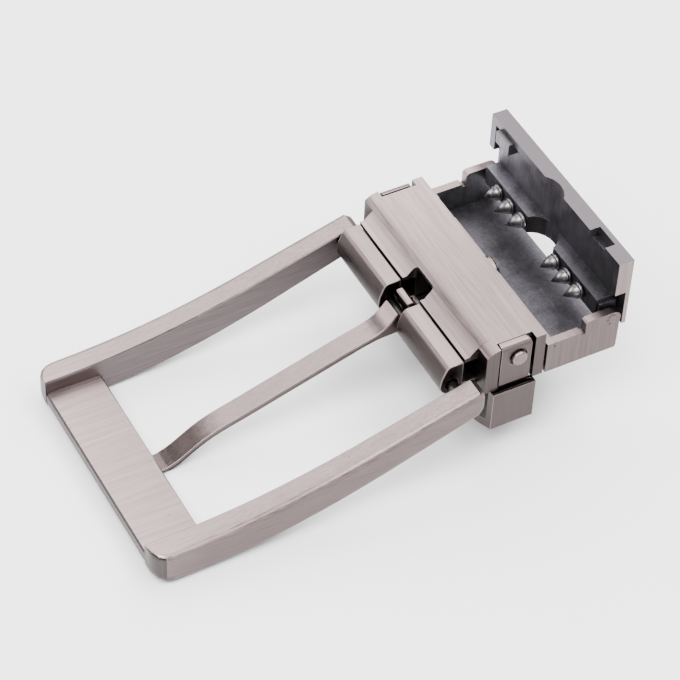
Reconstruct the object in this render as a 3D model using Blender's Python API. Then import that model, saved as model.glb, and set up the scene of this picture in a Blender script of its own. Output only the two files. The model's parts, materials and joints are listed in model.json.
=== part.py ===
"""Reversible pin buckle for a 35 mm strap, lying on its front face with its strap clamp open.

Lengths are in millimetres until a mesh is made. x runs from the end bar to the clamp, y runs across
the buckle, and z runs up from the surface that the buckle lies on. The origin is on that surface,
under the middle of the buckle's length and width.
"""
import math

import bmesh
import bpy
from mathutils import Matrix, Vector

MM = 0.001
GAP = 0.3

# Housing cover
COVER_REAR = 26.75
COVER_TOP = 22.6
COVER_LENGTH = 10.6
COVER_HALF_WIDTH = 20.0
COVER_HEIGHT = 8.9
COVER_PLATE = 1.4
COVER_FRONT_WALL = 2.5
COVER_REAR_WALL = 1.95
COVER_SLOT_FRONT = 8.25
COVER_SLOT_REAR = 1.85
COVER_SLOT_DEPTH = 1.45
COVER_TAB_INNER = 17.0
LIP_REACH = 12.92
LIP_LEVEL = 2.5
LIP_HALF_WIDTH = 17.2
NOTCH_HALF_WIDTH = 2.85
NOTCH_REAR = 10.4
NOTCH_ROUND = 0.7

# Hinge between housing and frame
HINGE_AHEAD_OF_REAR = 15.0
HINGE_BELOW_TOP = 7.1
HINGE_PIN_RADIUS = 0.9
HINGE_PIN_HALF_LENGTH = 20.8
HINGE_BORE_RADIUS = 1.15
KNUCKLE_INNER = 2.95
KNUCKLE_OUTER = 17.3
KNUCKLE_TOP = 4.1
KNUCKLE_FRONT = 2.05
KNUCKLE_REAR = 1.95
BRACKET_PLATE = 1.1
BRACKET_REACH = 12.6

# Frame
FRAME_LENGTH = 56.6
FRAME_HALF_WIDTH = 22.9
FRAME_CORNER_RADIUS = 2.9
ARM_INNER_AT_BAR = 18.5
ARM_INNER_AT_HINGE = 19.0
ARM_HEIGHT_AT_BAR = 6.4
ARM_HEIGHT_AT_HINGE = 5.5
ARM_SWELL = 0.7
FRAME_END_RISE = 1.9
ARM_TOP_ROUND = 1.1
ARM_BOTTOM_ROUND = 1.6
ARM_INNER_CHAMFER = 0.25
ARM_STATIONS = 13
END_BAR_WIDTH = 9.8
END_BAR_TOP = 3.9
END_BAR_THICKNESS = 2.2

# Prong
PRONG_HALF_WIDTH = 1.95
PRONG_THICKNESS = 1.15
PRONG_LOWEST = 0.1

# Keeper
KEEPER_FRONT = 9.2
KEEPER_REAR = 1.4
KEEPER_HALF_WIDTH = 20.7
KEEPER_WALL = 1.6
KEEPER_SHOULDER_BELOW_TOP = 9.35
KEEPER_CORNER_HEIGHT = 5.5
KEEPER_CROWN_FACETS = 11
EAR_FRONT = 8.0
EAR_REAR = 2.45
EAR_INNER = 18.75
EAR_ABOVE_TOP = 0.15
EAR_TOP_ROUND = 1.1
RIVET_AHEAD_OF_REAR = 4.85
RIVET_BELOW_TOP = 2.95
RIVET_HEAD_RADIUS = 1.35
RIVET_HEAD_HEIGHT = 0.8
RIVET_SHANK_RADIUS = 0.9

# Swivel between housing and clamp
SWIVEL_BELOW_TOP = 4.7
SPINDLE_RADIUS = 1.4
SPINDLE_HEAD_RADIUS = 2.5
SPINDLE_PEEN_RADIUS = 2.1
SWIVEL_BORE_RADIUS = 1.7

# Clamp tray
TRAY_FRONT = 0.74
TRAY_REAR = 13.8
TRAY_HALF_WIDTH = 19.7
TRAY_WALL = 1.4
TRAY_DEPTH = 9.4
TRAY_FLOOR = 1.1
TRAY_RIM_BELOW_TOP = 3.25
EAR_START = 7.65
JAW_AXIS_BEHIND_REAR = 12.6
JAW_AXIS_BELOW_TOP = 2.8
JAW_EAR_RADIUS = 1.55
JAW_PIN_RADIUS = 0.85
JAW_BORE_RADIUS = 1.1

# Clamp jaw, standing open
JAW_RIM_FACE = 12.45
JAW_POCKET_FLOOR = 13.3
JAW_BACK = 15.2
JAW_SKIN = 0.75
JAW_TOP = 9.25
JAW_TAIL = 4.5
JAW_HALF_WIDTH = 19.65
JAW_RIM = 1.45
JAW_SIDE_RIM_FOOT = 2.45
JAW_BAR_FACE = 10.8
JAW_BAR_BOTTOM = 3.4
JAW_BAR_HALF_WIDTH = 17.3
JAW_BITE_RADIUS = 4.2
JAW_BITE_CENTRE = 9.4

# Teeth
TOOTH_TIP = 7.4
TOOTH_ROOT = 12.0
TOOTH_RADIUS = 1.38
TOOTH_BELOW_TOP = 1.6
TOOTH_FIRST = 5.35
TOOTH_PITCH = 3.65
TEETH_A_SIDE = 3

COVER_FRONT = COVER_REAR - COVER_LENGTH
COVER_BOTTOM = COVER_TOP - COVER_HEIGHT
HINGE_X = COVER_REAR - HINGE_AHEAD_OF_REAR
HINGE_Z = COVER_TOP - HINGE_BELOW_TOP
FRAME_REAR = HINGE_X + 2.9
FRAME_FRONT = FRAME_REAR - FRAME_LENGTH
JAW_X = COVER_REAR + JAW_AXIS_BEHIND_REAR
JAW_Z = COVER_TOP - JAW_AXIS_BELOW_TOP
SWIVEL_Z = COVER_TOP - SWIVEL_BELOW_TOP


def clear_scene():
    for thing in list(bpy.data.objects):
        bpy.data.objects.remove(thing, do_unlink=True)


def metal(name, colour, roughness):
    finish = bpy.data.materials.new(name)
    finish.use_nodes = True
    shader = finish.node_tree.nodes["Principled BSDF"]
    shader.inputs["Base Color"].default_value = (*colour, 1.0)
    shader.inputs["Roughness"].default_value = roughness
    shader.inputs["Metallic"].default_value = 1.0
    return finish


def pivot(name, place):
    """An empty on a joint's axis, which carries the pieces that turn about it."""
    empty = bpy.data.objects.new(name, None)
    empty.empty_display_size = 5.0 * MM
    empty.location = Vector(place) * MM
    bpy.context.scene.collection.objects.link(empty)
    return empty


def arc(centre, radius, start, end, steps):
    """Points on an arc, from one angle to another in degrees."""
    angles = [math.radians(start + (end - start) * step / steps) for step in range(steps + 1)]
    return [(centre[0] + radius * math.cos(a), centre[1] + radius * math.sin(a)) for a in angles]


def along(axis, u, v, w):
    """A point from its place in a cross-section and its place along the axis."""
    return {"x": (w, u, v), "y": (u, w, v), "z": (u, v, w)}[axis]


def add_prism(mesh, outline, axis, low, high):
    ends = [[mesh.verts.new(along(axis, u, v, w)) for u, v in outline] for w in (low, high)]
    count = len(outline)
    faces = [mesh.faces.new(end) for end in ends]
    for i in range(count):
        j = (i + 1) % count
        faces.append(mesh.faces.new((ends[0][i], ends[0][j], ends[1][j], ends[1][i])))
    bmesh.ops.recalc_face_normals(mesh, faces=faces)


def add_box(mesh, x, y, z):
    add_prism(mesh, [(x[0], z[0]), (x[1], z[0]), (x[1], z[1]), (x[0], z[1])], "y", *y)


def add_rod(mesh, axis, centre, radius, low, high, sides=24):
    outline = arc(centre, radius, 0.0, 360.0, sides)[:-1]
    add_prism(mesh, outline, axis, low, high)


def add_turned(mesh, axis, centre, profile, sides):
    """A solid of revolution. The profile lists the place along the axis and the radius."""
    rings = []
    for place, radius in profile:
        if radius == 0.0:
            rings.append([mesh.verts.new(along(axis, centre[0], centre[1], place))])
            continue
        ring = arc(centre, radius, 0.0, 360.0, sides)[:-1]
        rings.append([mesh.verts.new(along(axis, u, v, place)) for u, v in ring])
    faces = []
    for ring, following in zip(rings, rings[1:]):
        for i in range(sides):
            j = (i + 1) % sides
            corners = [ring[i % len(ring)], ring[j % len(ring)]]
            corners += [following[j % len(following)], following[i % len(following)]]
            faces.append(mesh.faces.new(list(dict.fromkeys(corners))))
    bmesh.ops.recalc_face_normals(mesh, faces=faces)


def new_object(name, mesh, finish=None, parent=None):
    """Turns a mesh in millimetres into an object whose origin is its parent's."""
    centre = parent.location.copy() if parent else Vector((0.0, 0.0, 0.0))
    bmesh.ops.transform(mesh, matrix=Matrix.Translation(-centre) @ Matrix.Scale(MM, 4), verts=mesh.verts)
    data = bpy.data.meshes.new(name)
    mesh.to_mesh(data)
    mesh.free()
    thing = bpy.data.objects.new(name, data)
    bpy.context.scene.collection.objects.link(thing)
    thing.parent = parent
    if finish:
        data.materials.append(finish)
    return thing


def combine(target, mesh, operation, name):
    """Cuts a shape from the target, or joins it on, with a Boolean modifier."""
    tool = new_object(name, mesh, parent=target.parent)
    tool.hide_render = True
    tool.display_type = "WIRE"
    step = target.modifiers.new(name, "BOOLEAN")
    step.operation = operation
    step.solver = "EXACT"
    step.object = tool


def cut(target, mesh, name):
    combine(target, mesh, "DIFFERENCE", name)


def join(target, mesh, name):
    combine(target, mesh, "UNION", name)


def soften(target, width, segments=1):
    """A narrow bevel on every sharp edge."""
    step = target.modifiers.new("soft_edges", "BEVEL")
    step.width = width * MM
    step.segments = segments
    step.limit_method = "ANGLE"
    step.angle_limit = math.radians(40.0)


def shade_round(target):
    target.data.shade_smooth()
    target.data.set_sharp_from_angle(angle=math.radians(35.0))


def cubic(points, t):
    """A point on a cubic curve with four control points."""
    s = 1.0 - t
    weights = (s ** 3, 3.0 * s * s * t, 3.0 * s * t * t, t ** 3)
    return tuple(sum(w * p[k] for w, p in zip(weights, points)) for k in range(2))


def smooth_line(points, steps):
    """A smooth line through the points, with the same number of steps between each two."""
    ends = [points[0]] + points + [points[-1]]
    line = []
    for before, start, end, after in zip(ends, ends[1:], ends[2:], ends[3:]):
        reach = [((end[k] - before[k]) / 6.0, (after[k] - start[k]) / 6.0) for k in range(2)]
        first = (start[0] + reach[0][0], start[1] + reach[1][0])
        second = (end[0] - reach[0][1], end[1] - reach[1][1])
        line += [cubic((start, first, second, end), step / steps) for step in range(steps)]
    return line + [points[-1]]


def housing_points(points):
    """Points given as distances from the cover's rear top edge, as world x and z."""
    return [(COVER_REAR + x, COVER_TOP + z) for x, z in points]


def make_cover(finish):
    inner_front = COVER_FRONT + COVER_FRONT_WALL
    inner_rear = COVER_REAR - COVER_REAR_WALL
    ceiling = COVER_TOP - COVER_PLATE
    front_edge = [(-8.3, 0.0), (-9.4, -0.3), (-10.0, -0.6), (-10.6, -1.05)]
    outline = [(COVER_REAR, COVER_BOTTOM), (COVER_REAR, COVER_TOP)] + housing_points(front_edge)
    outline += [(COVER_FRONT, COVER_BOTTOM), (inner_front, COVER_BOTTOM), (inner_front, ceiling)]
    outline += [(inner_rear, ceiling), (inner_rear, COVER_BOTTOM)]
    mesh = bmesh.new()
    add_prism(mesh, outline, "y", -COVER_HALF_WIDTH, COVER_HALF_WIDTH)
    cover = new_object("cover", mesh, finish)

    mesh = bmesh.new()
    slope = [(-8.0, -0.02), (-8.7, -0.08), (-9.4, -0.25), (-10.0, -0.55), (-10.6, -0.98)]
    slope += [(-11.2, -1.5), (-11.75, -2.05), (-12.1, -LIP_LEVEL)]
    edge = [(-LIP_REACH, -LIP_LEVEL - 0.05), (-LIP_REACH, -LIP_LEVEL - 0.8), (-8.0, -LIP_LEVEL - 0.8)]
    add_prism(mesh, housing_points(slope + edge), "y", -LIP_HALF_WIDTH, LIP_HALF_WIDTH)
    join(cover, mesh, "front_lip")

    mesh = bmesh.new()
    tab_outer = COVER_HALF_WIDTH - COVER_SLOT_DEPTH - 0.2
    tab_foot = COVER_BOTTOM + 1.5
    for side in (-1, 1):
        reach = sorted((side * COVER_TAB_INNER, side * tab_outer))
        add_box(mesh, (inner_front - 0.5, inner_rear + 0.5), reach, (tab_foot, ceiling + 0.5))
    join(cover, mesh, "end_tabs")

    mesh = bmesh.new()
    slot = (COVER_REAR - COVER_SLOT_FRONT, COVER_REAR - COVER_SLOT_REAR)
    for side in (-1, 1):
        reach = sorted((side * (COVER_HALF_WIDTH - COVER_SLOT_DEPTH), side * (COVER_HALF_WIDTH + 1.0)))
        add_box(mesh, slot, reach, (COVER_BOTTOM - 1.0, COVER_TOP + 1.0))
    cut(cover, mesh, "ear_slots")

    mesh = bmesh.new()
    open_side = COVER_REAR - LIP_REACH - 1.0
    corner = (COVER_REAR - NOTCH_REAR - NOTCH_ROUND, NOTCH_HALF_WIDTH - NOTCH_ROUND)
    notch = [(open_side, NOTCH_HALF_WIDTH)] + arc(corner, NOTCH_ROUND, 90.0, 0.0, 4)
    notch += [(x, -y) for x, y in reversed(notch)]
    add_prism(mesh, notch, "z", COVER_TOP - 5.0, COVER_TOP + 1.0)
    cut(cover, mesh, "prong_notch")

    mesh = bmesh.new()
    through_wall = (COVER_FRONT - 0.5, inner_front + 0.5)
    half = KNUCKLE_OUTER + GAP
    add_box(mesh, through_wall, (-half, half), (COVER_BOTTOM - 1.0, COVER_BOTTOM + 1.5))
    cut(cover, mesh, "bracket_passage")

    mesh = bmesh.new()
    half = NOTCH_HALF_WIDTH - GAP
    add_box(mesh, through_wall, (-half, half), (COVER_BOTTOM - 0.5, ceiling - 0.1))
    cut(cover, mesh, "prong_window")

    mesh = bmesh.new()
    add_rod(mesh, "x", (0.0, SWIVEL_Z), SWIVEL_BORE_RADIUS, inner_rear - 0.5, COVER_REAR + 0.5)
    cut(cover, mesh, "spindle_bore")

    mesh = bmesh.new()
    rivet = (COVER_REAR - RIVET_AHEAD_OF_REAR, COVER_TOP - RIVET_BELOW_TOP)
    for side in (-1, 1):
        reach = sorted((side * (COVER_TAB_INNER - 0.5), side * (tab_outer + 0.5)))
        add_rod(mesh, "y", rivet, RIVET_SHANK_RADIUS + GAP, *reach, sides=16)
    cut(cover, mesh, "rivet_holes")
    soften(cover, 0.16)
    return cover


def make_bracket(finish):
    plate_bottom = COVER_BOTTOM - HINGE_Z
    plate_top = plate_bottom + BRACKET_PLATE
    outline = [(KNUCKLE_REAR, KNUCKLE_TOP), (-0.45, KNUCKLE_TOP - 0.05)]
    outline += [(-0.9, KNUCKLE_TOP - 0.3), (-1.3, KNUCKLE_TOP - 0.95), (-1.85, 1.6)]
    outline += arc((0.0, 0.0), KNUCKLE_FRONT, 165.0, 235.0, 4)
    outline += [(-0.3, plate_bottom), (BRACKET_REACH, plate_bottom)]
    outline += [(BRACKET_REACH, plate_top), (KNUCKLE_REAR, plate_top)]
    outline = [(HINGE_X + x, HINGE_Z + z) for x, z in outline]
    mesh = bmesh.new()
    add_prism(mesh, outline, "y", -KNUCKLE_OUTER, KNUCKLE_OUTER)
    bracket = new_object("hinge_bracket", mesh, finish)

    mesh = bmesh.new()
    gap_rear = COVER_REAR - NOTCH_REAR
    add_box(mesh, (HINGE_X - 5.0, gap_rear), (-KNUCKLE_INNER, KNUCKLE_INNER), (HINGE_Z - 6.0, HINGE_Z + 6.0))
    cut(bracket, mesh, "prong_gap")

    mesh = bmesh.new()
    reach = KNUCKLE_OUTER + 1.0
    add_rod(mesh, "y", (HINGE_X, HINGE_Z), HINGE_BORE_RADIUS, -reach, reach)
    cut(bracket, mesh, "bracket_bore")
    soften(bracket, 0.25)
    return bracket


def make_hinge_pin(finish):
    mesh = bmesh.new()
    half = HINGE_PIN_HALF_LENGTH
    add_rod(mesh, "y", (HINGE_X, HINGE_Z), HINGE_PIN_RADIUS, -half, half)
    pin = new_object("hinge_pin", mesh, finish)
    shade_round(pin)
    return pin


def make_keeper(finish):
    front = COVER_REAR - KEEPER_FRONT
    rear = COVER_REAR - KEEPER_REAR
    shoulder = COVER_TOP - KEEPER_SHOULDER_BELOW_TOP
    half = KEEPER_HALF_WIDTH
    inner = half - KEEPER_WALL

    def crown(width, lowest, rise):
        steps = KEEPER_CROWN_FACETS
        places = [width * (2.0 * step / steps - 1.0) for step in range(steps + 1)]
        middle = width / steps
        return [(y, lowest + rise * max(0.0, y * y - middle * middle) / (width * width)) for y in places]

    outer_line = crown(half, 0.0, KEEPER_CORNER_HEIGHT)
    inner_line = crown(inner, KEEPER_WALL, KEEPER_CORNER_HEIGHT - 0.75)
    outline = [(-half, shoulder)] + outer_line + [(half, shoulder), (inner, shoulder)]
    outline += list(reversed(inner_line)) + [(-inner, shoulder)]
    mesh = bmesh.new()
    add_prism(mesh, outline, "x", front, rear)
    keeper = new_object("keeper", mesh, finish)

    mesh = bmesh.new()
    ear = [(-EAR_FRONT, EAR_ABOVE_TOP), (-EAR_REAR - 0.8, EAR_ABOVE_TOP), (-EAR_REAR - 0.2, -0.15)]
    ear += [(-EAR_REAR, -0.8)]
    ear += [(-EAR_REAR, -KEEPER_SHOULDER_BELOW_TOP - 2.0), (-EAR_FRONT, -KEEPER_SHOULDER_BELOW_TOP - 2.0)]
    for side in (-1, 1):
        reach = sorted((side * EAR_INNER, side * COVER_HALF_WIDTH))
        add_prism(mesh, housing_points(ear), "y", *reach)
    join(keeper, mesh, "keeper_ears")

    mesh = bmesh.new()
    top = COVER_TOP + EAR_ABOVE_TOP
    centre = (COVER_HALF_WIDTH - EAR_TOP_ROUND, top - EAR_TOP_ROUND)
    above = [(centre[0], top + 0.5), (COVER_HALF_WIDTH + 0.5, top + 0.5), (COVER_HALF_WIDTH + 0.5, centre[1])]
    waste = arc(centre, EAR_TOP_ROUND, 0.0, 90.0, 6) + above
    for side in (-1, 1):
        outline = [(side * y, z) for y, z in waste]
        add_prism(mesh, outline, "x", COVER_REAR - EAR_FRONT - 1.0, COVER_REAR - EAR_REAR + 1.0)
    cut(keeper, mesh, "ear_top_rounds")

    mesh = bmesh.new()
    groove = (COVER_REAR - EAR_FRONT - 0.8, COVER_REAR - EAR_REAR + 0.6)
    for side in (-1, 1):
        reach = sorted((side * (COVER_HALF_WIDTH - 0.35), side * (COVER_HALF_WIDTH + 0.2)))
        add_box(mesh, groove, reach, (shoulder - 0.7, shoulder + 1.0))
    cut(keeper, mesh, "shoulder_grooves")

    mesh = bmesh.new()
    rivet = (COVER_REAR - RIVET_AHEAD_OF_REAR, COVER_TOP - RIVET_BELOW_TOP)
    for side in (-1, 1):
        seat = side * (COVER_HALF_WIDTH - 0.35)
        profile = [(side * (EAR_INNER - 1.0), 0.0), (side * (EAR_INNER - 1.0), RIVET_SHANK_RADIUS + GAP)]
        profile += [(seat, RIVET_SHANK_RADIUS + GAP), (seat, RIVET_HEAD_RADIUS + GAP)]
        profile += [(side * (COVER_HALF_WIDTH + 1.0), RIVET_HEAD_RADIUS + GAP)]
        profile += [(side * (COVER_HALF_WIDTH + 1.0), 0.0)]
        add_turned(mesh, "y", rivet, profile, 20)
    cut(keeper, mesh, "rivet_seats")
    soften(keeper, 0.18)
    return keeper


def make_rivet(name, side, finish):
    face = COVER_HALF_WIDTH
    profile = [(COVER_TAB_INNER, 0.0), (COVER_TAB_INNER, RIVET_SHANK_RADIUS)]
    profile += [(face - 0.05, RIVET_SHANK_RADIUS), (face - 0.05, RIVET_HEAD_RADIUS)]
    crest = face + RIVET_HEAD_HEIGHT
    profile += [(crest - 0.3, RIVET_HEAD_RADIUS), (crest - 0.08, RIVET_HEAD_RADIUS - 0.2)]
    profile += [(crest, RIVET_HEAD_RADIUS - 0.45), (crest, 0.0)]
    mesh = bmesh.new()
    place = (COVER_REAR - RIVET_AHEAD_OF_REAR, COVER_TOP - RIVET_BELOW_TOP)
    add_turned(mesh, "y", place, [(side * y, radius) for y, radius in profile], 20)
    rivet = new_object(name, mesh, finish)
    shade_round(rivet)
    return rivet


def arm_top(x):
    """Height of the arms' upper edge, a curve that rises from the end bar to the hinge."""
    curve = [(FRAME_FRONT, ARM_HEIGHT_AT_BAR), (FRAME_FRONT + 24.4, ARM_HEIGHT_AT_BAR + 0.3)]
    curve += [(FRAME_FRONT + 37.4, COVER_TOP - 10.3), (FRAME_REAR + 0.1, COVER_TOP - 4.9)]
    low, high = 0.0, 1.0
    for _ in range(40):
        middle = (low + high) / 2.0
        low, high = (middle, high) if cubic(curve, middle)[0] < x else (low, middle)
    return cubic(curve, low)[1]


def arm_section(x, outer, top, bottom):
    """Cross-section of an arm: inner edges chamfered, outer edges rounded."""
    share = (x - FRAME_FRONT) / FRAME_LENGTH
    inner = ARM_INNER_AT_BAR + (ARM_INNER_AT_HINGE - ARM_INNER_AT_BAR) * share
    chamfer = ARM_INNER_CHAMFER
    upper = min(ARM_TOP_ROUND, 0.8 * (outer - inner))
    lower = min(ARM_BOTTOM_ROUND, 0.8 * (outer - inner))
    section = [(inner, bottom + chamfer), (inner, top - chamfer), (inner + chamfer, top)]
    section += arc((outer - upper, top - upper), upper, 90.0, 0.0, 4)
    section += arc((outer - lower, bottom + lower), lower, 0.0, -90.0, 4)
    return section + [(inner + chamfer, bottom)]


def arm_stations():
    """Rows of x, outer half width, top and bottom along an arm."""
    rows = []
    radius = FRAME_CORNER_RADIUS
    for step in range(5):
        angle = math.radians(90.0 * step / 4)
        x = FRAME_FRONT + radius * (1.0 - math.cos(angle))
        rows.append((x, FRAME_HALF_WIDTH - radius * (1.0 - math.sin(angle))))
    straight = FRAME_LENGTH - radius - 0.9
    for step in range(1, ARM_STATIONS + 1):
        rows.append((FRAME_FRONT + radius + straight * step / ARM_STATIONS, FRAME_HALF_WIDTH))
    stations = []
    for x, outer in rows:
        share = (x - FRAME_FRONT) / FRAME_LENGTH
        height = ARM_HEIGHT_AT_BAR + (ARM_HEIGHT_AT_HINGE - ARM_HEIGHT_AT_BAR) * share
        height += 4.0 * ARM_SWELL * share * (1.0 - share)
        depth = max(0.0, 1.0 - (x - FRAME_FRONT) / FRAME_CORNER_RADIUS)
        rise = FRAME_END_RISE * (1.0 - math.sqrt(1.0 - depth * depth))
        stations.append((x, outer, arm_top(x), max(0.0, arm_top(x) - height) + rise))
    rear_top, rear_bottom = COVER_TOP - 5.6, COVER_TOP - 9.9
    stations.append((FRAME_REAR, FRAME_HALF_WIDTH - 0.3, rear_top, rear_bottom))
    return stations


def add_arm(mesh, side):
    rings = []
    for x, outer, top, bottom in arm_stations():
        section = arm_section(x, outer, top, bottom)
        rings.append([mesh.verts.new((x, side * y, z)) for y, z in section])
    count = len(rings[0])
    faces = [mesh.faces.new(rings[0]), mesh.faces.new(rings[-1])]
    for ring, following in zip(rings, rings[1:]):
        for i in range(count):
            j = (i + 1) % count
            faces.append(mesh.faces.new((ring[i], ring[j], following[j], following[i])))
    bmesh.ops.recalc_face_normals(mesh, faces=faces)


def make_frame(finish, parent):
    bar_top = END_BAR_TOP
    bar_bottom = END_BAR_TOP - END_BAR_THICKNESS
    front = FRAME_FRONT + 0.1
    rear = FRAME_FRONT + END_BAR_WIDTH
    half = ARM_INNER_AT_BAR + 0.6
    outline = [(front, bar_bottom + 0.4), (front, bar_top - 0.35), (front + 0.3, bar_top)]
    outline += [(rear - 0.25, bar_top), (rear, bar_top - 0.25), (rear, bar_bottom + 0.25)]
    outline += [(rear - 0.25, bar_bottom), (front + 0.4, bar_bottom)]
    mesh = bmesh.new()
    add_prism(mesh, outline, "y", -half, half)
    frame = new_object("frame", mesh, finish, parent)

    mesh = bmesh.new()
    for side in (-1, 1):
        add_arm(mesh, side)
    join(frame, mesh, "arms")

    mesh = bmesh.new()
    for side in (-1, 1):
        reach = sorted((side * (ARM_INNER_AT_BAR - 1.0), side * (HINGE_PIN_HALF_LENGTH + GAP)))
        add_rod(mesh, "y", (HINGE_X, HINGE_Z), HINGE_BORE_RADIUS, *reach)
    cut(frame, mesh, "arm_bores")
    shade_round(frame)
    return frame


def make_prong(finish, parent):
    """The prong's side outline: its back, the open cradle for the pin, and its front."""
    back = [(-65.0, -21.95), (-58.0, -21.85), (-56.2, -21.4), (-54.5, -20.6), (-50.8, -18.25)]
    back += [(-47.5, -16.8), (-43.0, -15.45), (-32.0, -12.0), (-25.0, -9.8), (-20.2, -8.4)]
    back += [(-17.9, -7.0), (-16.25, -5.0)]
    back_line = housing_points(smooth_line(back, 3))
    centre = (HINGE_X, HINGE_Z)
    cradle = arc(centre, HINGE_BORE_RADIUS, 137.0, 402.0, 12)
    hook = [(0.75, 2.6), (0.4, 3.3), (0.45, 3.55), (1.5, 3.6), (1.95, 3.1), (2.35, 1.6)]
    hook += [(2.45, 0.0), (2.2, -1.4), (1.4, -2.0), (0.0, -2.4)]
    hook_line = [(HINGE_X + x, HINGE_Z + z) for x, z in hook]
    belly = housing_points([(-16.5, -9.25), (-19.6, -9.45), (-22.0, -10.0)])
    rows = [(x, z) for x, z in reversed(back_line) if x < COVER_REAR - 24.0]
    front_line = [(x, max(z - PRONG_THICKNESS, PRONG_LOWEST)) for x, z in rows]
    tip_x, tip_top = back_line[0]
    tip = [(tip_x - 0.4, (tip_top + PRONG_LOWEST) / 2.0)]
    mesh = bmesh.new()
    outline = back_line + cradle + hook_line + belly + front_line + tip
    add_prism(mesh, outline, "y", -PRONG_HALF_WIDTH, PRONG_HALF_WIDTH)
    prong = new_object("prong", mesh, finish, parent)
    soften(prong, 0.16)
    shade_round(prong)
    return prong


def make_spindle(finish, parent):
    inside = COVER_REAR - 5.2
    outside = COVER_REAR + 2.25
    peen = SPINDLE_PEEN_RADIUS
    profile = [(inside - 1.0, 0.0), (inside - 1.0, SPINDLE_HEAD_RADIUS), (inside, SPINDLE_HEAD_RADIUS)]
    profile += [(inside, SPINDLE_RADIUS), (outside, SPINDLE_RADIUS), (outside, peen)]
    profile += [(outside + 0.3, peen), (outside + 0.5, peen - 0.4), (outside + 0.5, 0.0)]
    mesh = bmesh.new()
    add_turned(mesh, "x", (0.0, SWIVEL_Z), profile, 28)
    spindle = new_object("spindle", mesh, finish, parent)
    shade_round(spindle)
    return spindle


def make_tray(finish, parent):
    bottom = -TRAY_DEPTH
    rim = -TRAY_RIM_BELOW_TOP
    axis = (JAW_AXIS_BEHIND_REAR, -JAW_AXIS_BELOW_TOP)
    outline = [(TRAY_FRONT, bottom), (TRAY_REAR - 0.1, bottom), (TRAY_REAR + 0.1, bottom + 0.5)]
    outline += arc(axis, JAW_EAR_RADIUS, -25.0, 90.0, 6)
    outline += [(EAR_START + 0.5, axis[1] + JAW_EAR_RADIUS), (EAR_START, axis[1] + JAW_EAR_RADIUS - 0.4)]
    outline += [(EAR_START, rim - 0.6), (EAR_START - 0.7, rim - 0.6), (EAR_START - 0.7, rim)]
    outline += [(TRAY_FRONT, rim)]
    mesh = bmesh.new()
    add_prism(mesh, housing_points(outline), "y", -TRAY_HALF_WIDTH, TRAY_HALF_WIDTH)
    tray = new_object("tray", mesh, finish, parent)

    mesh = bmesh.new()
    inner = TRAY_HALF_WIDTH - TRAY_WALL
    front_wall_rear = COVER_REAR + 2.0
    floor = COVER_TOP - TRAY_DEPTH + TRAY_FLOOR
    add_box(mesh, (front_wall_rear, COVER_REAR + 20.0), (-inner, inner), (floor, COVER_TOP + 5.0))
    cut(tray, mesh, "strap_space")

    mesh = bmesh.new()
    hump = (COVER_REAR + TRAY_FRONT + 0.1, front_wall_rear - 0.1)
    add_rod(mesh, "x", (0.0, SWIVEL_Z), SPINDLE_HEAD_RADIUS, *hump, sides=28)
    join(tray, mesh, "swivel_boss")

    mesh = bmesh.new()
    add_rod(mesh, "x", (0.0, SWIVEL_Z), SWIVEL_BORE_RADIUS, COVER_REAR, front_wall_rear + 1.0, sides=28)
    cut(tray, mesh, "swivel_bore")

    mesh = bmesh.new()
    catch = (COVER_TOP - TRAY_RIM_BELOW_TOP - 1.3, COVER_TOP)
    add_box(mesh, (COVER_REAR, front_wall_rear + 0.5), (12.0, 17.2), catch)
    cut(tray, mesh, "snap_catch")

    mesh = bmesh.new()
    for side in (-1, 1):
        reach = sorted((side * (inner - 1.0), side * (TRAY_HALF_WIDTH - 0.4)))
        add_rod(mesh, "y", (JAW_X, JAW_Z), JAW_BORE_RADIUS, *reach, sides=16)
    cut(tray, mesh, "jaw_pin_bores")
    soften(tray, 0.14)
    return tray


def make_jaw_pin(name, side, finish, parent):
    mesh = bmesh.new()
    reach = sorted((side * 16.5, side * (TRAY_HALF_WIDTH - 0.6)))
    add_rod(mesh, "y", (JAW_X, JAW_Z), JAW_PIN_RADIUS, *reach, sides=16)
    pin = new_object(name, mesh, finish, parent)
    shade_round(pin)
    return pin


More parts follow.
